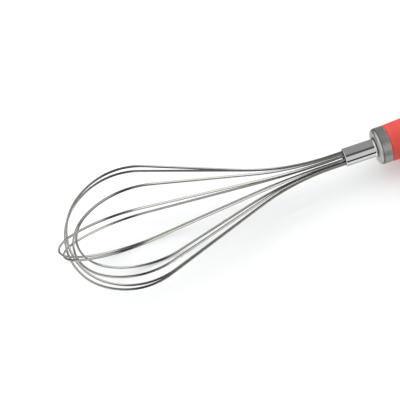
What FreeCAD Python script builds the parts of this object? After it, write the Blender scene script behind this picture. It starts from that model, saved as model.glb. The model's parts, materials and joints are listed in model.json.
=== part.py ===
import FreeCAD, Part
import math
import os

# Balloon whisk lying on a table: six spring-wire loops potted into a polished ferrule,
# a barrel grip between two brushed end caps, and a hanging ring on an eye nut.
# Millimetres. Each piece is modelled along the whisk's own axis, with the mouth of the
# ferrule at x = 0, the handle towards +X and the wire tips towards -X. The whole whisk is
# then laid down with its balloon and its rear cap on z = 0.

V = FreeCAD.Vector
X_AXIS = V(1, 0, 0)
Y_AXIS = V(0, 1, 0)
Z_AXIS = V(0, 0, 1)

# Wire loops
WIRE_R = 0.7
BUNDLE_R = 3.9             # the wires' centres stand on this circle in the ferrule
LEG_DEPTH = 15.0           # how far each leg is potted
LEAD_OUT = 8.3             # straight wire between the ferrule and the flare
FLARE_R = 150.0
BELLY_R = 45.0
SHOULDER_DEG = 38.0        # where the belly hands over to the rounder tip
TILT_PIVOT_X = 9.0
LOOPS = [                  # azimuth from the top, reach, half width, sideways set, tilt
    {"azimuth": 14.0, "reach": 170.5, "half": 37.0, "set": -1.3, "tilt": -0.25},
    {"azimuth": 44.5, "reach": 168.6, "half": 34.9, "set": -0.4, "tilt": 0.5},
    {"azimuth": -12.0, "reach": 159.2, "half": 34.7, "set": -1.7, "tilt": -0.35},
    {"azimuth": 78.0, "reach": 161.9, "half": 34.3, "set": 0.6, "tilt": 0.3},
    {"azimuth": -43.5, "reach": 163.9, "half": 36.2, "set": 1.6, "tilt": 0.6},
    {"azimuth": 104.0, "reach": 166.1, "half": 35.9, "set": -0.4, "tilt": 0.5},
]

# Ferrule and what is inside it
FERRULE_R = 5.7
FERRULE_BORE_R = 4.7
FERRULE_LENGTH = 36.0
FERRULE_RIM = 0.3
BEAD_R = 6.3
BEAD_LENGTH = 1.2
CORE_R = 2.9
CORE_START = 2.0
SEAL_START = 0.8
SEAL_END = 16.5
FIT = 0.02                 # radial gap between fixed pieces that slip together
PLUG_START = 17.0
PLUG_FLANGE_R = 5.6
PLUG_FLANGE = 1.4
ROD_R = 2.48
ROD_HOLE_R = 2.5
ROD_START = 24.0

# Caps, tube and bushes
FRONT_CAP_R = 11.25
REAR_CAP_R = 10.9
CAP_LENGTH = 7.6
CAP_INNER_R = 9.7
CAP_FACE = 1.5
FRONT_CORNER_R = 2.4
REAR_CORNER_R = 3.0
CAP_BEVEL = 0.35
FRONT_CAP_X = 19.8
REAR_CAP_END_X = 124.6
SEAT_GAP = 0.05
TUBE_R = 7.6
TUBE_BORE_R = 6.6
BUSH_FLANGE = 1.5
BUSH_LENGTH = 12.0

# Grip
GRIP_START_R = 11.2
GRIP_SPIGOT_R = 9.65
GRIP_FLARE_DEG = 3.0
GRIP_FLARE_LENGTH = 22.0
GRIP_WIDEST_X = 84.0
GRIP_END_R = 10.85

# Eye nut and hanging ring
WASHER_R = 5.0
WASHER_HOLE_R = 2.65
WASHER_THICKNESS = 1.0
EYE_R = 4.6
EYE_BOSS = 5.5
EYE_X = 134.6
EYE_THICKNESS = 3.4
EYE_HOLE_R = 1.85
RING_R = 12.4
RING_WIRE_R = 1.2

FRONT_CAP_END_X = FRONT_CAP_X + CAP_LENGTH
REAR_CAP_X = REAR_CAP_END_X - CAP_LENGTH
CAP_INSIDE_X = FRONT_CAP_X + CAP_FACE
REAR_INSIDE_X = REAR_CAP_END_X - CAP_FACE
TUBE_START_X = CAP_INSIDE_X + SEAT_GAP + BUSH_FLANGE + SEAT_GAP
TUBE_END_X = REAR_INSIDE_X - SEAT_GAP - BUSH_FLANGE - SEAT_GAP


def cylinder(radius, start, end):
    return Part.makeCylinder(radius, end - start, V(start, 0, 0), X_AXIS)


def tube(outer, inner, start, end):
    return cylinder(outer, start, end).cut(cylinder(inner, start - 1, end + 1))


def turned(edges):
    """A solid turned about the whisk's axis from a closed half outline of edges."""
    return Part.Face(Part.Wire(edges)).revolve(V(0, 0, 0), X_AXIS, 360)


def line(x1, r1, x2, r2):
    return Part.LineSegment(V(x1, 0, r1), V(x2, 0, r2)).toShape()


def outline(points):
    closed = points + points[:1]
    return [line(*closed[i], *closed[i + 1]) for i in range(len(points))]


# ---------------------------------------------------------------- wire loops

def wire_run(start, end):
    """Straight wire between two points of the loop's plane."""
    along = end - start
    return Part.makeCylinder(WIRE_R, along.Length, start, along)


def wire_bend(centre, start, tangent, degrees):
    """Wire bent about centre, from start and along tangent, in the loop's plane."""
    section = Part.Face(Part.Wire(Part.Circle(start, tangent, WIRE_R).toShape()))
    return section.revolve(centre, (start - centre).cross(tangent), degrees)


def loop_side(loop, side):
    """Leg, flare, straight and belly of one side: +1 is the upper leg, -1 the lower."""
    shoulder = math.radians(SHOULDER_DEG)
    widest = loop["half"] + side * loop["set"]
    belly_x = tip_bend(loop)["belly_x"]
    both = FLARE_R + BELLY_R
    rise = widest - BUNDLE_R
    flare = math.asin(both / math.hypot(belly_x, both - rise)) - math.atan2(both - rise, belly_x)

    def at(forward, out):
        return V(-LEAD_OUT - forward, 0, side * out)

    def heading(angle):
        return V(-math.cos(angle), 0, side * math.sin(angle))

    leg_start = at(-LEAD_OUT - LEG_DEPTH, BUNDLE_R)
    flare_start = at(0, BUNDLE_R)
    flare_end = at(FLARE_R * math.sin(flare), BUNDLE_R + FLARE_R * (1 - math.cos(flare)))
    belly_start = at(belly_x - BELLY_R * math.sin(flare), widest - BELLY_R * (1 - math.cos(flare)))
    flare_centre = at(0, BUNDLE_R + FLARE_R)
    belly_centre = at(belly_x, widest - BELLY_R)
    belly_turn = math.degrees(flare + shoulder)
    return [
        wire_run(leg_start, flare_start),
        wire_bend(flare_centre, flare_start, heading(0), math.degrees(flare)),
        wire_run(flare_end, belly_start),
        wire_bend(belly_centre, belly_start, heading(flare), belly_turn),
    ]


def tip_bend(loop):
    """Radius of the round tip, and how far forward the belly is widest."""
    shoulder = math.radians(SHOULDER_DEG)
    radius = (loop["half"] - BELLY_R * (1 - math.cos(shoulder))) / math.cos(shoulder)
    belly_x = loop["reach"] - BELLY_R * math.sin(shoulder) - radius * (1 - math.sin(shoulder))
    return {"radius": radius, "belly_x": belly_x}


def wire_loop(loop):
    shoulder = math.radians(SHOULDER_DEG)
    radius = tip_bend(loop)["radius"]
    centre = V(-LEAD_OUT - loop["reach"] + radius, 0, loop["set"])
    start = centre + V(-radius * math.sin(shoulder), 0, radius * math.cos(shoulder))
    tangent = V(-math.cos(shoulder), 0, -math.sin(shoulder))
    tip = wire_bend(centre, start, tangent, 180 - 2 * SHOULDER_DEG)
    shape = tip.fuse(loop_side(loop, 1) + loop_side(loop, -1)).removeSplitter()
    shape = shape.Solids[0]
    shape.rotate(V(TILT_PIVOT_X, 0, 0), Z_AXIS, loop["tilt"])
    shape.rotate(V(0, 0, 0), X_AXIS, loop["azimuth"])
    return shape


# ---------------------------------------------------------------- ferrule

def ferrule():
    """Polished tube with a rounded mouth and a rolled bead that stops at the front cap."""
    bead_x = FRONT_CAP_X - SEAT_GAP - BEAD_LENGTH / 2
    shell = tube(FERRULE_R, FERRULE_BORE_R, 0, FERRULE_LENGTH)
    mouth = [e for e in shell.Edges if e.BoundBox.XMax < 0.01 and e.Closed]
    shell = shell.makeFillet(FERRULE_RIM, mouth)
    crown = BEAD_R - FERRULE_R
    bow = Part.Arc(
        V(bead_x - BEAD_LENGTH / 2, 0, FERRULE_R - FIT),
        V(bead_x, 0, FERRULE_R + crown),
        V(bead_x + BEAD_LENGTH / 2, 0, FERRULE_R - FIT),
    ).toShape()
    base = FERRULE_R - (FERRULE_R - FERRULE_BORE_R) / 2
    left, right = bead_x - BEAD_LENGTH / 2, bead_x + BEAD_LENGTH / 2
    bead = turned([
        bow,
        line(right, FERRULE_R - FIT, right, base),
        line(right, base, left, base),
        line(left, base, left, FERRULE_R - FIT),
    ])
    return shell.fuse(bead).removeSplitter()


def bundle_core():
    """Bullet-nosed pin that spreads the wire legs."""
    pin = cylinder(CORE_R, CORE_START, LEG_DEPTH)
    nose = [e for e in pin.Edges if e.BoundBox.XMax < CORE_START + 0.01 and e.Closed]
    return pin.makeFillet(CORE_R * 0.6, nose)


def epoxy_seal():
    """Potting that fills the ferrule round the legs and the pin."""
    shape = cylinder(FERRULE_BORE_R - FIT, SEAL_START, SEAL_END)
    shape = shape.cut(cylinder(CORE_R + FIT, SEAL_START - 1, LEG_DEPTH + FIT))
    for loop in LOOPS:
        for side in (1, -1):
            hole = Part.makeCylinder(
                WIRE_R + FIT, LEG_DEPTH + FIT + 5, V(-5, 0, side * BUNDLE_R), X_AXIS
            )
            hole.rotate(V(TILT_PIVOT_X, 0, 0), Z_AXIS, loop["tilt"])
            hole.rotate(V(0, 0, 0), X_AXIS, loop["azimuth"])
            shape = shape.cut(hole)
    return shape


def ferrule_plug():
    """Threaded slug crimped into the rear of the ferrule."""
    body = cylinder(FERRULE_BORE_R - FIT, PLUG_START, FERRULE_LENGTH)
    flange_x = FERRULE_LENGTH + FIT
    neck = cylinder(FERRULE_BORE_R - FIT, FERRULE_LENGTH - 1, flange_x)
    flange = cylinder(PLUG_FLANGE_R, flange_x, flange_x + PLUG_FLANGE)
    thread = cylinder(ROD_HOLE_R, ROD_START - 1, flange_x + PLUG_FLANGE + 1)
    return body.fuse([neck, flange]).cut(thread).removeSplitter()


# ---------------------------------------------------------------- handle

def cap(cap_r, corner_r, bore_r):
    """Drawn cup, closed end at x = 0 and opening towards +X, with a bevelled rim."""
    middle = corner_r * (1 - math.sqrt(0.5))
    corner = Part.Arc(V(0, 0, cap_r - corner_r), V(middle, 0, cap_r - middle), V(corner_r, 0, cap_r))
    return turned([
        line(0, bore_r, 0, cap_r - corner_r),
        corner.toShape(),
        line(corner_r, cap_r, CAP_LENGTH - CAP_BEVEL, cap_r),
        line(CAP_LENGTH - CAP_BEVEL, cap_r, CAP_LENGTH, cap_r - CAP_BEVEL),
        line(CAP_LENGTH, cap_r - CAP_BEVEL, CAP_LENGTH, CAP_INNER_R),
        line(CAP_LENGTH, CAP_INNER_R, CAP_FACE, CAP_INNER_R),
        line(CAP_FACE, CAP_INNER_R, CAP_FACE, bore_r),
        line(CAP_FACE, bore_r, 0, bore_r),
    ])


def front_cap():
    shape = cap(FRONT_CAP_R, FRONT_CORNER_R, FERRULE_R + SEAT_GAP)
    shape.translate(V(FRONT_CAP_X, 0, 0))
    return shape


def rear_cap():
    shape = cap(REAR_CAP_R, REAR_CORNER_R, ROD_HOLE_R + SEAT_GAP)
    shape.rotate(V(0, 0, 0), Z_AXIS, 180)
    shape.translate(V(REAR_CAP_END_X, 0, 0))
    return shape


def handle_tube():
    return tube(TUBE_R, TUBE_BORE_R, TUBE_START_X, TUBE_END_X)


def bush(bore_r):
    """Flanged bush: the flange at x = 0 to BUSH_FLANGE, the spigot towards +X."""
    shape = cylinder(TUBE_R, 0, BUSH_FLANGE)
    shape = shape.fuse(cylinder(TUBE_BORE_R - FIT, 0, BUSH_LENGTH))
    return shape.cut(cylinder(bore_r, -1, BUSH_LENGTH + 1)).removeSplitter()


def front_bush():
    shape = bush(FERRULE_R + SEAT_GAP)
    shape.translate(V(CAP_INSIDE_X + SEAT_GAP, 0, 0))
    return shape


def rear_bush():
    shape = bush(ROD_HOLE_R + SEAT_GAP)
    shape.rotate(V(0, 0, 0), Z_AXIS, 180)
    shape.translate(V(REAR_INSIDE_X - SEAT_GAP, 0, 0))
    return shape


def grip_shape():
    """Where the grip's outline changes: end of the flare, and the radii of its two bows."""
    slope = math.radians(GRIP_FLARE_DEG)
    start_x = FRONT_CAP_END_X + SEAT_GAP
    flare_x = start_x + GRIP_FLARE_LENGTH
    flare_r = GRIP_START_R + GRIP_FLARE_LENGTH * math.tan(slope)
    front_bow = (GRIP_WIDEST_X - flare_x) / math.sin(slope)
    widest_r = flare_r + front_bow * (1 - math.cos(slope))
    end_x = REAR_CAP_X - SEAT_GAP
    drop = widest_r - GRIP_END_R
    run = end_x - GRIP_WIDEST_X
    rear_bow = (run ** 2 + drop ** 2) / (2 * drop)
    return {
        "start_x": start_x, "flare_x": flare_x, "flare_r": flare_r, "front_bow": front_bow,
        "widest_r": widest_r, "end_x": end_x, "rear_bow": rear_bow,
    }


def bow_point(x, radius, widest_r):
    """The point at x of a bow of this radius that is widest at GRIP_WIDEST_X."""
    run = x - GRIP_WIDEST_X
    return V(x, 0, widest_r - radius + math.sqrt(radius ** 2 - run ** 2))


def grip_sleeve():
    """Soft sleeve over the tube, with a spigot into each cap."""
    g = grip_shape()
    widest = V(GRIP_WIDEST_X, 0, g["widest_r"])
    front_mid = bow_point((g["flare_x"] + GRIP_WIDEST_X) / 2, g["front_bow"], g["widest_r"])
    rear_mid = bow_point((g["end_x"] + GRIP_WIDEST_X) / 2, g["rear_bow"], g["widest_r"])
    flare_end = V(g["flare_x"], 0, g["flare_r"])
    rear_end = V(g["end_x"], 0, GRIP_END_R)
    inner_r = TUBE_R + FIT
    front_x = CAP_INSIDE_X + SEAT_GAP
    rear_x = REAR_INSIDE_X - SEAT_GAP
    return turned([
        line(front_x, inner_r, front_x, GRIP_SPIGOT_R),
        line(front_x, GRIP_SPIGOT_R, g["start_x"], GRIP_SPIGOT_R),
        line(g["start_x"], GRIP_SPIGOT_R, g["start_x"], GRIP_START_R),
        line(g["start_x"], GRIP_START_R, g["flare_x"], g["flare_r"]),
        Part.Arc(flare_end, front_mid, widest).toShape(),
        Part.Arc(widest, rear_mid, rear_end).toShape(),
        line(g["end_x"], GRIP_END_R, g["end_x"], GRIP_SPIGOT_R),
        line(g["end_x"], GRIP_SPIGOT_R, rear_x, GRIP_SPIGOT_R),
        line(rear_x, GRIP_SPIGOT_R, rear_x, inner_r),
        line(rear_x, inner_r, front_x, inner_r),
    ])


# ---------------------------------------------------------------- rear end

def lock_washer():
    start = REAR_CAP_END_X + SEAT_GAP
    return tube(WASHER_R, WASHER_HOLE_R, start, start + WASHER_THICKNESS)


def eye_start():
    return REAR_CAP_END_X + SEAT_GAP + WASHER_THICKNESS + SEAT_GAP


def draw_rod():
    """Rod from the ferrule plug to the eye nut; tightening the nut clamps the handle."""
    return cylinder(ROD_R, ROD_START, eye_start() + EYE_BOSS - 1.5)


def ring_eye():
    """Eye nut: a round boss on the rod, and a flat eye with its hole across the handle."""
    start = eye_start()
    boss = cylinder(EYE_R, start, start + EYE_BOSS)
    base = V(EYE_X, -EYE_THICKNESS / 2, 0)
    eye = Part.makeCylinder(EYE_R, EYE_THICKNESS, base, Y_AXIS)
    neck = Part.makeBox(EYE_X - start - 2, EYE_THICKNESS, 2 * EYE_R * 0.9)
    neck.translate(V(start + 2, -EYE_THICKNESS / 2, -EYE_R * 0.9))
    hole = Part.makeCylinder(EYE_HOLE_R, EYE_THICKNESS + 2, base - V(0, 1, 0), Y_AXIS)
    thread = cylinder(ROD_HOLE_R, start - 1, start + EYE_BOSS - 1)
    return boss.fuse([neck, eye]).cut(hole.fuse(thread)).removeSplitter()


# ---------------------------------------------------------------- laying the whisk down

def balloon_depth(lie):
    """How far below the whisk's axis origin the balloon reaches when it lies at this angle."""
    depths = []
    for loop in LOOPS:
        azimuth = math.radians(loop["azimuth"])
        belly = LEAD_OUT + tip_bend(loop)["belly_x"]
        tilted = math.sin(azimuth) * math.tan(math.radians(loop["tilt"])) * (belly + TILT_PIVOT_X)
        side = -1 if math.cos(azimuth) > 0 else 1
        widest = loop["half"] + side * loop["set"]
        out = math.cos(lie) * abs(math.cos(azimuth))
        bulge = BELLY_R * math.hypot(math.sin(lie), out)
        depth = (widest - BELLY_R) * out + bulge - belly * math.sin(lie)
        depths.append(depth + tilted * math.cos(lie))
    return max(depths) + WIRE_R


def handle_depth(lie):
    """The same for the handle: its rear cap's rounded corner or the widest of its grip."""
    g = grip_shape()
    corner_x = REAR_CAP_END_X - REAR_CORNER_R
    corner = (REAR_CAP_R - REAR_CORNER_R) * math.cos(lie) + corner_x * math.sin(lie) + REAR_CORNER_R
    bow_r = g["widest_r"] - g["rear_bow"]
    bow = bow_r * math.cos(lie) + GRIP_WIDEST_X * math.sin(lie) + g["rear_bow"]
    return max(corner, bow)


def resting_angle():
    """Angle at which balloon and handle reach equally low, by halving."""
    low, high = 0.0, math.radians(20)
    for _ in range(50):
        lie = (low + high) / 2
        if handle_depth(lie) < balloon_depth(lie):
            low = lie
        else:
            high = lie
    return (low + high) / 2


LIE = resting_angle()
LIFT = handle_depth(LIE)
EYE_HEIGHT = LIFT - EYE_X * math.sin(LIE)
RING_DROOP = math.asin((EYE_HEIGHT - RING_WIRE_R) / (2 * RING_R))


def hang_ring():
    """Ring through the eye, hanging down until its far side meets the table.

    Its plane holds the eye's hole axis, so it swings about that axis.
    """
    droop = RING_DROOP - LIE
    centre = V(EYE_X + RING_R * math.cos(droop), 0, -RING_R * math.sin(droop))
    return Part.makeTorus(RING_R, RING_WIRE_R, centre, V(math.sin(droop), 0, math.cos(droop)))


def lay_down(shape):
    shape.rotate(V(0, 0, 0), Y_AXIS, math.degrees(LIE))
    shape.translate(V(0, 0, LIFT))
    return shape


def build():
    nodes = {}
    for number, loop in enumerate(LOOPS, start=1):
        nodes["wire_loop_%d" % number] = wire_loop(loop)
    makers = [
        bundle_core, epoxy_seal, ferrule, ferrule_plug, front_cap, front_bush, handle_tube,
        grip_sleeve, rear_bush, rear_cap, draw_rod, lock_washer, ring_eye, hang_ring,
    ]
    for maker in makers:
        nodes[maker.__name__] = maker()
    return {name: lay_down(shape) for name, shape in nodes.items()}


def export(nodes):
    """Centre the whisk over the origin and write one STEP file per node."""
    os.makedirs("parts", exist_ok=True)
    box = Part.makeCompound(list(nodes.values())).optimalBoundingBox(False, False)
    shift = V(-box.Center.x, -box.Center.y, -box.ZMin)
    for name, shape in nodes.items():
        shape.translate(shift)
        shape.exportStep("parts/%s.step" % name)
    pivot = V(EYE_X * math.cos(LIE), 0, EYE_HEIGHT) + shift
    print("lie %.3f deg, droop %.3f deg" % (math.degrees(LIE), math.degrees(RING_DROOP)))
    print("ring pivot %.3f %.3f %.3f" % (pivot.x, pivot.y, pivot.z))
    print("box %.2f x %.2f x %.2f, low %.4f" % (box.XLength, box.YLength, box.ZLength, box.ZMin))
    print("mouth %.3f %.3f %.3f" % (shift.x, shift.y, LIFT + shift.z))


export(build())
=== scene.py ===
import json
import math

import bmesh
import bpy
from mathutils import Matrix, Vector


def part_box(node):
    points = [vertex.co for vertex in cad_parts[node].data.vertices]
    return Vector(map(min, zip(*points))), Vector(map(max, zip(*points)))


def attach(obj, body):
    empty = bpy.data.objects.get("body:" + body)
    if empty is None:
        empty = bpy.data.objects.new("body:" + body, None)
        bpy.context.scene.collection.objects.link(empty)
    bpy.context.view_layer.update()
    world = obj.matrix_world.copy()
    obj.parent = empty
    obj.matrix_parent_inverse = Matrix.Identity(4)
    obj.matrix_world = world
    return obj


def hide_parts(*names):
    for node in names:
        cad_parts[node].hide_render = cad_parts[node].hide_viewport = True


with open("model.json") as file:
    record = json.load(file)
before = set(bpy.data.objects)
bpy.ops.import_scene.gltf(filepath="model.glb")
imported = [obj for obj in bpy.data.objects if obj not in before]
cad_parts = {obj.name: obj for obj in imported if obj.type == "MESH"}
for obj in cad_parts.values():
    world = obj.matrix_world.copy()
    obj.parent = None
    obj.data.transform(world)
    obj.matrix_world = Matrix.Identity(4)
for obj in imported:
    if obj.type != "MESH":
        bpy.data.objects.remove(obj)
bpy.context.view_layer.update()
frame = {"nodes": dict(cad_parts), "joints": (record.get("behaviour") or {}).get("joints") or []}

MM = 0.001

# The whisk's own frame: its axis is X, the mouth of the ferrule is at x = 0, the handle
# is towards +X. The tube's box centre and the ring's hinge both lie on the axis.
EYE_X = 134.6 * MM
PIVOT = Vector(frame["joints"][0]["pos_m"])
TUBE_MIDDLE = (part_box("handle_tube")[0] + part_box("handle_tube")[1]) / 2
AXIS = (PIVOT - TUBE_MIDDLE).normalized()
LIE = math.atan2(-AXIS.z, AXIS.x)
WHISK = Matrix.Translation(PIVOT - AXIS * EYE_X) @ Matrix.Rotation(LIE, 4, "Y")

# Sizes of the pieces that are made here, in millimetres, as the CAD has them
FIT, SEAT_GAP = 0.02, 0.05
FERRULE_R, FERRULE_BORE, FERRULE_END = 5.7, 4.7, 36.0
BEAD_X, BEAD_R = 19.15, 0.6
FRONT_CAP_R, REAR_CAP_R, CAP_INNER_R = 11.25, 10.9, 9.7
CAP_LENGTH, CAP_FACE, CAP_BEVEL = 7.6, 1.5, 0.35
FRONT_CORNER_R, REAR_CORNER_R, ROD_HOLE_R = 2.4, 3.0, 2.5
FRONT_CAP_X, REAR_CAP_END = 19.8, 124.6
GRIP_START, GRIP_END, GRIP_WIDEST = 27.45, 116.95, 84.0
GRIP_START_R, GRIP_END_R, SPIGOT_R, TUBE_R = 11.2, 10.85, 9.65, 7.6
FLARE_LENGTH, FLARE_SLOPE = 22.0, math.radians(3.0)
WASHER_R, WASHER_HOLE_R, WASHER_THICKNESS = 5.0, 2.65, 1.0
RING_R, RING_WIRE = 12.4, 1.2


# ---------------------------------------------------------------- materials

class Paint:
    """A Principled material and short ways to add nodes to it."""

    def __init__(self, name, colour, roughness, metallic=0.0, **sockets):
        self.mat = bpy.data.materials.new(name)
        self.mat.use_nodes = True
        self.tree = self.mat.node_tree
        self.shader = self.tree.nodes["Principled BSDF"]
        self.set("Base Color", (*colour, 1))
        self.set("Roughness", roughness)
        self.set("Metallic", metallic)
        for socket, value in sockets.items():
            self.set(socket.replace("_", " "), value)
        row = self.node("ShaderNodeTexCoord").outputs["Object"]
        whisk = self.node("ShaderNodeMapping")
        whisk.inputs["Rotation"].default_value = (0, -LIE, 0)
        whisk.inputs["Location"].default_value = WHISK.inverted().translation
        self.link(row, whisk.inputs["Vector"])
        self.coords = whisk.outputs["Vector"]
        self.height = None

    def set(self, socket, value):
        self.shader.inputs[socket].default_value = value

    def node(self, kind, **settings):
        made = self.tree.nodes.new(kind)
        for key, value in settings.items():
            setattr(made, key, value)
        return made

    def link(self, a, b):
        self.tree.links.new(a, b)

    def stretched(self, scale, turn=(0, 0, 0)):
        mapping = self.node("ShaderNodeMapping")
        mapping.inputs["Scale"].default_value = scale
        mapping.inputs["Rotation"].default_value = turn
        self.link(self.coords, mapping.inputs["Vector"])
        return mapping.outputs["Vector"]

    def noise(self, scale, detail=3.0, vector=None, rough=0.5):
        made = self.node("ShaderNodeTexNoise")
        made.inputs["Scale"].default_value = scale
        made.inputs["Detail"].default_value = detail
        made.inputs["Roughness"].default_value = rough
        self.link(vector or self.coords, made.inputs["Vector"])
        return made.outputs["Fac"]

    def cells(self, scale, vector=None):
        made = self.node("ShaderNodeTexVoronoi")
        made.inputs["Scale"].default_value = scale
        self.link(vector or self.coords, made.inputs["Vector"])
        return made.outputs["Distance"]

    def ramp(self, value, low, high, out_low=0.0, out_high=1.0):
        made = self.node("ShaderNodeMapRange")
        for socket, number in zip(("From Min", "From Max", "To Min", "To Max"),
                                  (low, high, out_low, out_high)):
            made.inputs[socket].default_value = number
        self.link(value, made.inputs["Value"])
        return made.outputs["Result"]

    def maths(self, operation, a, b):
        made = self.node("ShaderNodeMath", operation=operation)
        for socket, value in zip(made.inputs, (a, b)):
            if isinstance(value, (int, float)):
                socket.default_value = value
            else:
                self.link(value, socket)
        return made.outputs[0]

    def blend(self, factor, a, b):
        made = self.node("ShaderNodeMix", data_type="RGBA")
        self.link(factor, made.inputs["Factor"])
        for socket, colour in ((made.inputs[6], a), (made.inputs[7], b)):
            if isinstance(colour, tuple):
                socket.default_value = (*colour, 1)
            else:
                self.link(colour, socket)
        return made.outputs[2]

    def colour(self, value):
        self.link(value, self.shader.inputs["Base Color"])

    def roughness(self, value):
        self.link(value, self.shader.inputs["Roughness"])

    def bump(self, value, depth):
        """Adds relief of this depth, in metres, on top of any relief already there."""
        made = self.node("ShaderNodeBump")
        made.inputs["Strength"].default_value = 1.0
        made.inputs["Distance"].default_value = depth
        self.link(value, made.inputs["Height"])
        if self.height:
            self.link(self.height, made.inputs["Normal"])
        self.height = made.outputs["Normal"]
        self.link(self.height, self.shader.inputs["Normal"])


def steel(name, colour, roughness, spread, lines, grain, depth, **sockets):
    """Metal with fine marks of this grain and depth, stretched as lines says.

    Its roughness varies by spread where the marks, the haze and the rubbed places are.
    """
    p = Paint(name, colour, roughness, 1.0, **sockets)
    marks = p.noise(grain, 4.0, p.stretched(lines), 0.7)
    haze = p.noise(55.0, 3.0)
    rubbed = p.ramp(p.noise(170.0, 5.0), 0.55, 0.72)
    dull = tuple(c * 0.86 for c in colour)
    p.colour(p.blend(p.ramp(marks, 0.3, 0.7), dull, colour))
    rough = p.maths("ADD", p.ramp(marks, 0.25, 0.75, roughness - spread, roughness + spread),
                    p.ramp(haze, 0.3, 0.7, 0.0, spread * 0.8))
    p.roughness(p.maths("ADD", rough, p.maths("MULTIPLY", rubbed, spread * 0.7)))
    p.bump(marks, depth)
    return p


def brushed_paint():
    """Steel whose highlight spreads round the cap and stays narrow along it."""
    lines = (1, 0.03, 0.03)
    p = steel("brushed_cap", (0.42, 0.42, 0.4), 0.28, 0.05, lines, 4200.0, 0.000009, Anisotropic=0.8)
    tangent = p.node("ShaderNodeTangent", direction_type="RADIAL", axis="X")
    p.link(tangent.outputs[0], p.shader.inputs["Tangent"])
    return p


def grip_paint():
    """Soft-touch moulded rubber: fine grain, slight mottle, rubbed a little at both ends."""
    red, deep, pale = (0.62, 0.056, 0.043), (0.57, 0.048, 0.037), (0.7, 0.088, 0.068)
    p = Paint("grip_rubber", red, 0.5, 0.0, Specular_IOR_Level=0.42)
    grain = p.noise(2600.0, 2.0, rough=0.6)
    pits = p.cells(1500.0)
    mottle = p.noise(240.0, 4.0, rough=0.6)
    cloud = p.noise(28.0, 3.0)
    body = p.blend(p.ramp(mottle, 0.35, 0.68), deep, red)
    along = p.node("ShaderNodeSeparateXYZ")
    p.link(p.coords, along.inputs[0])
    middle = (GRIP_START + GRIP_END) / 2 * MM
    half = (GRIP_END - GRIP_START) / 2 * MM
    reach = p.maths("ABSOLUTE", p.maths("SUBTRACT", along.outputs["X"], middle), 0.0)
    end = p.ramp(reach, half - 3.2 * MM, half - 0.2 * MM)
    worn = p.maths("MULTIPLY", end, p.ramp(p.noise(420.0, 4.0), 0.45, 0.7))
    p.colour(p.blend(p.maths("MULTIPLY", worn, 0.55), body, pale))
    matte = p.ramp(cloud, 0.3, 0.7, 0.44, 0.56)
    matte = p.maths("ADD", matte, p.ramp(grain, 0.3, 0.7, -0.05, 0.05))
    p.roughness(p.maths("SUBTRACT", matte, p.maths("MULTIPLY", worn, 0.16)))
    p.bump(grain, 0.00003)
    p.bump(pits, 0.000035)
    return p


def resin_paint():
    p = Paint("potting_resin", (0.2, 0.185, 0.16), 0.28, 0.0)
    cloud = p.noise(500.0, 4.0)
    p.colour(p.blend(p.ramp(cloud, 0.3, 0.7), (0.15, 0.135, 0.11), (0.27, 0.25, 0.21)))
    p.roughness(p.ramp(cloud, 0.3, 0.7, 0.2, 0.42))
    p.bump(p.noise(900.0, 3.0), 0.00008)
    return p


def nylon_paint():
    p = Paint("bush_nylon", (0.56, 0.55, 0.52), 0.5, 0.0, Subsurface_Weight=0.08)
    grain = p.noise(1800.0, 3.0)
    flow = p.noise(90.0, 3.0, p.stretched((0.4, 1, 1)))
    p.colour(p.blend(p.ramp(flow, 0.3, 0.7), (0.49, 0.48, 0.45), (0.6, 0.59, 0.56)))
    p.roughness(p.ramp(grain, 0.3, 0.7, 0.42, 0.6))
    p.bump(grain, 0.00003)
    return p


WIRE_GREY, POLISHED_GREY = (0.35, 0.345, 0.325), (0.72, 0.72, 0.71)
BRIGHT_GREY, PLAIN_GREY = (0.6, 0.6, 0.59), (0.46, 0.46, 0.45)
PAINT = {
    "wire": steel("loop_wire", WIRE_GREY, 0.17, 0.04, (1, 1, 1), 900.0, 0.000004),
    "polished": steel("polished_steel", POLISHED_GREY, 0.025, 0.012, (1, 0.02, 0.02), 5200.0, 0.0000003),
    "brushed": brushed_paint(),
    "ring": steel("ring_wire", BRIGHT_GREY, 0.16, 0.05, (1, 1, 1), 1200.0, 0.000005),
    "eye": steel("eye_steel", BRIGHT_GREY, 0.2, 0.05, (1, 0.35, 0.35), 1500.0, 0.000006),
    "hardware": steel("hardware_steel", PLAIN_GREY, 0.3, 0.08, (1, 0.1, 0.1), 2600.0, 0.00001),
    "grip": grip_paint(),
    "resin": resin_paint(),
    "nylon": nylon_paint(),
}


# ---------------------------------------------------------------- mesh helpers

def arc_points(centre, radius, start, end, steps):
    """Points on an arc in the (x, radius) plane, angles in degrees from +x."""
    out = []
    for i in range(steps + 1):
        a = math.radians(start + (end - start) * i / steps)
        out.append((centre[0] + radius * math.cos(a), centre[1] + radius * math.sin(a)))
    return out


def rounded(corners, steps=5, hold=0.06):
    """Closed outline from (x, r, fillet) corners, with a held point beside each fillet."""
    out = []
    count = len(corners)
    for i, (x, r, fillet) in enumerate(corners):
        here = Vector((x, r))
        if fillet <= 0:
            out.append((x, r))
            continue
        before = Vector(corners[i - 1][:2]) - here
        after = Vector(corners[(i + 1) % count][:2]) - here
        a, b = before.normalized(), after.normalized()
        half = a.angle(b) / 2
        reach = fillet / math.tan(half)
        centre = here + (a + b).normalized() * (fillet / math.sin(half))
        first, last = here + a * reach, here + b * reach
        if before.length > reach + 3 * hold:
            out.append(tuple(first + a * hold))
        u, w = first - centre, last - centre
        for k in range(steps + 1):
            t = k / steps
            d = (u * (1 - t) + w * t).normalized() * fillet
            out.append(tuple(centre + d))
        if after.length > reach + 3 * hold:
            out.append(tuple(last + b * hold))
    return out


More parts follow.
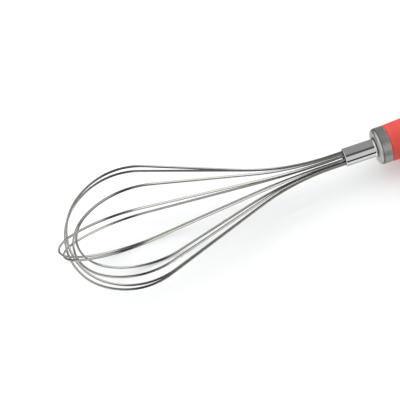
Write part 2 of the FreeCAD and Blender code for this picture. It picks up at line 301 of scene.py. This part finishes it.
def mesh_object(name, verts, faces, paint, to_row=None):
    mesh = bpy.data.meshes.new(name)
    mesh.from_pydata(verts, [], faces)
    mesh.validate()
    if to_row:
        mesh.transform(to_row)
    bm = bmesh.new()
    bm.from_mesh(mesh)
    bmesh.ops.recalc_face_normals(bm, faces=bm.faces)
    bm.to_mesh(mesh)
    bm.free()
    mesh.shade_smooth()
    mesh.materials.append(paint.mat)
    made = bpy.data.objects.new(name, mesh)
    bpy.context.scene.collection.objects.link(made)
    return made


def turned(name, outline, paint, steps=192, swell=None):
    """Closed (x, r) outline turned about the whisk's axis. swell(x, angle) adds to r."""
    verts, faces = [], []
    n = len(outline)
    for i in range(steps):
        a = 2 * math.pi * i / steps
        for x, r in outline:
            r2 = r + (swell(x, a) if swell else 0.0)
            verts.append((x * MM, -r2 * math.sin(a) * MM, r2 * math.cos(a) * MM))
    for i in range(steps):
        j = (i + 1) % steps
        for k in range(n):
            m = (k + 1) % n
            faces.append((i * n + k, i * n + m, j * n + m, j * n + k))
    return mesh_object(name, verts, faces, paint, WHISK)


def place(piece, body, slot, *nodes):
    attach(piece, body)
    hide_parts(*nodes)
    return piece


# ---------------------------------------------------------------- pieces

def ferrule():
    """Polished tube with a rounded mouth and a rolled bead that stops at the front cap."""
    steps = 14
    bead = arc_points((BEAD_X, FERRULE_R), BEAD_R, 180, 0, steps)
    corners = [(0, FERRULE_BORE, 0.18), (0, FERRULE_R, 0.42)]
    corners += [(x, r, 0.1 if i in (0, steps) else 0) for i, (x, r) in enumerate(bead)]
    corners += [(FERRULE_END, FERRULE_R, 0.1), (FERRULE_END, FERRULE_BORE, 0.1)]
    made = turned("ferrule_polished", rounded(corners, 6), PAINT["polished"])
    return place(made, "whisk", "polished_steel", "ferrule")


def cap_outline(outer, corner, bore):
    """Drawn cup: closed end at x = 0, open end at x = CAP_LENGTH with a bevelled rim."""
    return rounded([
        (0, bore, 0.12),
        (0, outer, corner),
        (CAP_LENGTH - CAP_BEVEL, outer, 0.12),
        (CAP_LENGTH, outer - CAP_BEVEL, 0.08),
        (CAP_LENGTH, CAP_INNER_R, 0.1),
        (CAP_FACE, CAP_INNER_R, 0.4),
        (CAP_FACE, bore, 0.1),
    ], 10)


def caps():
    front = cap_outline(FRONT_CAP_R, FRONT_CORNER_R, FERRULE_R + SEAT_GAP)
    rear = cap_outline(REAR_CAP_R, REAR_CORNER_R, ROD_HOLE_R + SEAT_GAP)
    front = turned("front_cap_brushed", [(FRONT_CAP_X + x, r) for x, r in front], PAINT["brushed"])
    rear = turned("rear_cap_brushed", [(REAR_CAP_END - x, r) for x, r in rear], PAINT["brushed"])
    place(front, "whisk", "brushed_cap", "front_cap")
    place(rear, "whisk", "brushed_cap", "rear_cap")


def grip_radius(x):
    """Outer radius of the grip: a flare, a long bow to the widest, a shorter bow back."""
    flare_x = GRIP_START + FLARE_LENGTH
    flare_r = GRIP_START_R + FLARE_LENGTH * math.tan(FLARE_SLOPE)
    front = (GRIP_WIDEST - flare_x) / math.sin(FLARE_SLOPE)
    widest = flare_r + front * (1 - math.cos(FLARE_SLOPE))
    if x < flare_x:
        return GRIP_START_R + (x - GRIP_START) * math.tan(FLARE_SLOPE)
    if x < GRIP_WIDEST:
        return widest - front + math.sqrt(front ** 2 - (x - GRIP_WIDEST) ** 2)
    drop, run = widest - GRIP_END_R, GRIP_END - GRIP_WIDEST
    rear = (run ** 2 + drop ** 2) / (2 * drop)
    return widest - rear + math.sqrt(rear ** 2 - (x - GRIP_WIDEST) ** 2)


def grip():
    """Moulded sleeve with a rounded lip at each end and a spigot into each cap."""
    lip = 0.4
    front_x, rear_x = FRONT_CAP_X + CAP_FACE + SEAT_GAP, REAR_CAP_END - CAP_FACE - SEAT_GAP
    inner = TUBE_R + FIT
    count = 96
    parting_angle, flash, flash_width, bare_end = math.radians(120), 0.045, 0.022, 0.8
    outer = []
    for i in range(count + 1):
        x = GRIP_START + (GRIP_END - GRIP_START) * i / count
        outer.append((x, grip_radius(x), lip if i in (0, count) else 0))
    corners = [(front_x, inner, 0.2), (front_x, SPIGOT_R, 0.2), (GRIP_START, SPIGOT_R, 0)]
    corners += outer
    corners += [(GRIP_END, SPIGOT_R, 0), (rear_x, SPIGOT_R, 0.2), (rear_x, inner, 0.2)]

    def parting(x, a):
        """Fine flash line left by the mould, on both sides."""
        off = abs(math.sin(a - parting_angle))
        inside = GRIP_START + bare_end < x < GRIP_END - bare_end
        return flash * max(0.0, 1 - off / flash_width) if inside else 0.0

    made = turned("grip_moulded", rounded(corners, 6), PAINT["grip"], 300, parting)
    return place(made, "whisk", "red_grip", "grip_sleeve")


def lock_washer():
    """Spring washer, pressed flat, with the slanted slit that such a washer has."""
    start = REAR_CAP_END + SEAT_GAP
    end = start + WASHER_THICKNESS
    section = rounded([
        (start, WASHER_HOLE_R, 0.12),
        (start, WASHER_R, 0.2),
        (end, WASHER_R, 0.2),
        (end, WASHER_HOLE_R, 0.12),
    ], 4)
    steps, gap, lean = 120, math.radians(7), math.radians(9)
    verts, faces = [], []
    n = len(section)
    for i in range(steps + 1):
        for x, r in section:
            slant = lean * ((x - start) / WASHER_THICKNESS - 0.5)
            a = gap / 2 + (2 * math.pi - gap) * i / steps + slant
            verts.append((x * MM, -r * math.sin(a) * MM, r * math.cos(a) * MM))
    for i in range(steps):
        for k in range(n):
            m = (k + 1) % n
            faces.append((i * n + k, i * n + m, (i + 1) * n + m, (i + 1) * n + k))
    faces.append(tuple(range(n)))
    faces.append(tuple(steps * n + k for k in reversed(range(n))))
    made = mesh_object("lock_washer_split", verts, faces, PAINT["hardware"], WHISK)
    return place(made, "whisk", "hardware_steel", "lock_washer")


def forged_eye():
    """Eye nut with forged, softened edges, from the CAD solid's own shape."""
    source = frame["nodes"]["ring_eye"].data
    mesh = bpy.data.meshes.new("ring_eye_forged")
    mesh.from_pydata([v.co for v in source.vertices], [], [tuple(p.vertices) for p in source.polygons])
    bm = bmesh.new()
    bm.from_mesh(mesh)
    bmesh.ops.remove_doubles(bm, verts=bm.verts, dist=0.002 * MM)
    bm.to_mesh(mesh)
    bm.free()
    made = bpy.data.objects.new("ring_eye_forged", mesh)
    bpy.context.scene.collection.objects.link(made)
    remesh = made.modifiers.new("remesh", "REMESH")
    remesh.mode = "VOXEL"
    remesh.voxel_size = 0.16 * MM
    soften = made.modifiers.new("soften", "SMOOTH")
    soften.factor = 0.5
    soften.iterations = 9
    graph = bpy.context.evaluated_depsgraph_get()
    done = bpy.data.meshes.new_from_object(made.evaluated_get(graph), depsgraph=graph)
    made.modifiers.clear()
    made.data = done
    bpy.data.meshes.remove(mesh)
    done.name = "ring_eye_forged"
    done.materials.clear()
    done.materials.append(PAINT["eye"].mat)
    done.shade_smooth()
    return place(made, "whisk", "polished_steel", "ring_eye")


def hanging_ring():
    """Round wire bent into a ring and butt-welded, with its upset and the fine seam."""
    low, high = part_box("hang_ring")
    centre = (low + high) / 2
    out = (centre - PIVOT).normalized()
    side = Vector((0, 1, 0))
    normal = out.cross(side)
    steps, around = 288, 36
    weld, upset, seam = math.radians(62), 0.055, 0.05
    verts, faces = [], []
    for i in range(steps):
        a = 2 * math.pi * i / steps
        off = math.remainder(a - weld, 2 * math.pi)
        wire = RING_WIRE + upset * math.exp(-(off / 0.05) ** 2) - seam * math.exp(-(off / 0.012) ** 2)
        for k in range(around):
            b = 2 * math.pi * k / around
            r = RING_R + wire * math.cos(b)
            verts.append((r * math.cos(a) * MM, r * math.sin(a) * MM, wire * math.sin(b) * MM))
    for i in range(steps):
        for k in range(around):
            j, m = (i + 1) % steps, (k + 1) % around
            faces.append((i * around + k, i * around + m, j * around + m, j * around + k))
    to_row = Matrix.Translation(centre) @ Matrix((out, side, normal)).transposed().to_4x4()
    made = mesh_object("hang_ring_welded", verts, faces, PAINT["ring"], to_row)
    return place(made, "ring", "ring_wire", "hang_ring")


def dress_cad_nodes():
    """CAD nodes that stay keep their shape and get the finished materials."""
    finish = {
        "bundle_core": "hardware", "epoxy_seal": "resin", "ferrule_plug": "hardware",
        "front_bush": "nylon", "rear_bush": "nylon", "handle_tube": "hardware",
        "draw_rod": "hardware",
    }
    for number in range(1, 7):
        finish["wire_loop_%d" % number] = "wire"
    for node, paint in finish.items():
        mesh = frame["nodes"][node].data
        mesh.materials.clear()
        mesh.materials.append(PAINT[paint].mat)


# ---------------------------------------------------------------- studio

# The camera looks at this point of the row's frame
AIM = Vector((-79.84, 11.06, 20.0)) * MM
DISTANCE = 651.0 * MM
AZIMUTH = math.radians(6.465)     # from -Y towards +X
ELEVATION = math.radians(59.551)
ROLL = math.radians(27.207)
LENS = 95.701
BACK = Vector((
    math.cos(ELEVATION) * math.sin(AZIMUTH),
    -math.cos(ELEVATION) * math.cos(AZIMUTH),
    math.sin(ELEVATION),
))

# What the metal reflects, by direction: turn is the angle in degrees round the handle's axis,
# from the main viewing side towards the front and the floor; along is the share of the
# direction that points along the handle, towards its rear end.
# Radiance of the plain wall, up to the first and from the second of these values of along
WALL, WALL_ALONG = (0.15, 0.4), (0.02, 0.15)
# (from turn, to turn, softness, radiance added), fading in between these values of along
FRONT_CARDS = [(5, 54, 3, 0.42), (74, 92, 1, 0.55), (92, 105, 2, 0.75), (105, 150, 2, 0.28)]
CARD_SIDE = (0.0, 0.13)
# (from along, to along, from turn, to turn, radiance added)
SOFTBOXES = [(0.37, 1.2, -110, 62, 2.1), (-1.2, -0.3, -110, 150, 1.25)]
# The lit floor, on the far side and the near side: (fades in from turn, to turn, radiance added)
FAR_FLOOR = [(-145, -165, 0.9), (148, 165, 0.9)]
# The dark room between the lights: (from turn, to turn, softness, share of the light kept).
# The ceiling's fades out between these values of along.
HORIZON = (54, 74, 1, 0.02)
CEILING = (-22, 2, 2, 0.28)
CEILING_REACH = (0.3, 0.45)
# Even light on matt surfaces, which comes more from this direction, by this share
FILL = 1.0
FILL_FROM, FILL_LEAN = Vector((0.0, 0.85, 0.53)), 0.8
# What the camera sees past the floor, and the tint of all the room's light
BACKDROP = 0.95
ROOM_TINT = (0.985, 1.0, 1.0, 1)
# The soft light overhead, in metres, and how bright its face is
KEY_SIZE, KEY_RADIANCE = 0.75, 1.0
KEY_AT, KEY_AIM = Vector((-0.15, 0.3, 1.18)), Vector((-0.05, 0, 0))
FLOOR_HALF = 12.0


def add_camera():
    data = bpy.data.cameras.new("camera")
    data.lens = LENS
    data.sensor_width = 36.0
    data.clip_start = 0.01
    data.clip_end = 20.0
    camera = bpy.data.objects.new("camera", data)
    turn = BACK.to_track_quat("Z", "Y").to_matrix() @ Matrix.Rotation(-ROLL, 3, "Z")
    camera.matrix_world = Matrix.Translation(AIM + BACK * DISTANCE) @ turn.to_4x4()
    bpy.context.scene.collection.objects.link(camera)
    bpy.context.scene.camera = camera


def add_floor():
    p = Paint("floor_paper", (0.84, 0.84, 0.84), 0.85, 0.0, Specular_IOR_Level=0.2)
    grain = p.noise(700.0, 3.0)
    p.colour(p.blend(p.ramp(grain, 0.3, 0.7), (0.83, 0.83, 0.83), (0.85, 0.85, 0.85)))
    p.bump(grain, 0.00002)
    s = FLOOR_HALF
    floor = mesh_object("floor", [(-s, -s, 0), (s, -s, 0), (s, s, 0), (-s, s, 0)], [(0, 1, 2, 3)], p)
    floor.visible_glossy = False


def add_key_light():
    """Square soft light, left out of reflections, which the world draws."""
    data = bpy.data.lights.new("key", "AREA")
    data.size = KEY_SIZE
    data.energy = KEY_RADIANCE * math.pi * KEY_SIZE ** 2
    light = bpy.data.objects.new("key", data)
    light.location = KEY_AT
    light.rotation_euler = (KEY_AIM - KEY_AT).to_track_quat("-Z", "Y").to_euler()
    light.visible_camera = False
    light.visible_glossy = False
    bpy.context.scene.collection.objects.link(light)


def add_world():
    """The room: even fill on matt surfaces, and cards and softboxes seen in the metal."""
    world = bpy.data.worlds.new("studio")
    bpy.context.scene.world = world
    world.use_nodes = True
    tree = world.node_tree
    tree.nodes.clear()
    new, link = tree.nodes.new, tree.links.new
    handle = (AXIS - BACK * AXIS.dot(BACK)).normalized()
    front = handle.cross(BACK)
    front = front if front.y < 0 else -front

    def maths(operation, a, b=0.0):
        made = new("ShaderNodeMath")
        made.operation = operation
        for socket, value in zip(made.inputs, (a, b)):
            if isinstance(value, (int, float)):
                socket.default_value = value
            else:
                link(value, socket)
        return made.outputs[0]

    def step(value, low, high, out_low=0.0, out_high=1.0):
        made = new("ShaderNodeMapRange")
        made.interpolation_type = "SMOOTHSTEP"
        for socket, number in zip(("From Min", "From Max", "To Min", "To Max"),
                                  (low, high, out_low, out_high)):
            made.inputs[socket].default_value = number
        link(value, made.inputs["Value"])
        return made.outputs["Result"]

    def band(value, start, end, soft):
        return maths("MULTIPLY", step(value, start - soft, start + soft),
                     step(value, end - soft, end + soft, 1.0, 0.0))

    direction = new("ShaderNodeTexCoord").outputs["Generated"]

    def share(axis):
        made = new("ShaderNodeVectorMath")
        made.operation = "DOT_PRODUCT"
        link(direction, made.inputs[0])
        made.inputs[1].default_value = axis
        return made.outputs["Value"]

    along = share(handle)
    turn = maths("MULTIPLY", maths("ARCTAN2", share(front), share(BACK)), 180 / math.pi)
    parts = []
    near_side = step(along, *CARD_SIDE)
    for *edges, radiance in FRONT_CARDS:
        parts.append(maths("MULTIPLY", maths("MULTIPLY", band(turn, *edges), radiance), near_side))
    for low, high, start, end, radiance in SOFTBOXES:
        shape = maths("MULTIPLY", band(along, low, high, 0.06), band(turn, start, end, 6))
        parts.append(maths("MULTIPLY", shape, radiance))
    for start, end, radiance in FAR_FLOOR:
        parts.append(step(turn, start, end, 0.0, radiance))
    total = maths("ADD", parts[0], step(along, *WALL_ALONG, *WALL))
    for part in parts[1:]:
        total = maths("ADD", total, part)
    gap = maths("MULTIPLY", band(turn, *HORIZON[:3]), 1 - HORIZON[3])
    dark = maths("MULTIPLY", band(turn, *CEILING[:3]), 1 - CEILING[3])
    dark = maths("MULTIPLY", dark, step(maths("ABSOLUTE", along), *CEILING_REACH, 1.0, 0.0))
    for shade in (gap, dark):
        total = maths("MULTIPLY", total, maths("SUBTRACT", 1.0, shade))
    fill = maths("MULTIPLY", maths("ADD", maths("MULTIPLY", share(FILL_FROM), FILL_LEAN), 1.0), FILL)
    path = new("ShaderNodeLightPath")
    glossy = maths("MULTIPLY", path.outputs["Is Glossy Ray"], maths("SUBTRACT", total, fill))
    seen = maths("MULTIPLY", path.outputs["Is Camera Ray"], maths("SUBTRACT", BACKDROP, fill))
    strength = maths("ADD", maths("ADD", glossy, seen), fill)
    background = new("ShaderNodeBackground")
    background.inputs["Color"].default_value = ROOM_TINT
    link(strength, background.inputs["Strength"])
    link(background.outputs[0], new("ShaderNodeOutputWorld").inputs["Surface"])


ferrule()
caps()
grip()
lock_washer()
forged_eye()
hanging_ring()
dress_cad_nodes()

add_camera()
add_floor()
add_world()
add_key_light()
bpy.context.scene.view_settings.view_transform = "Standard"
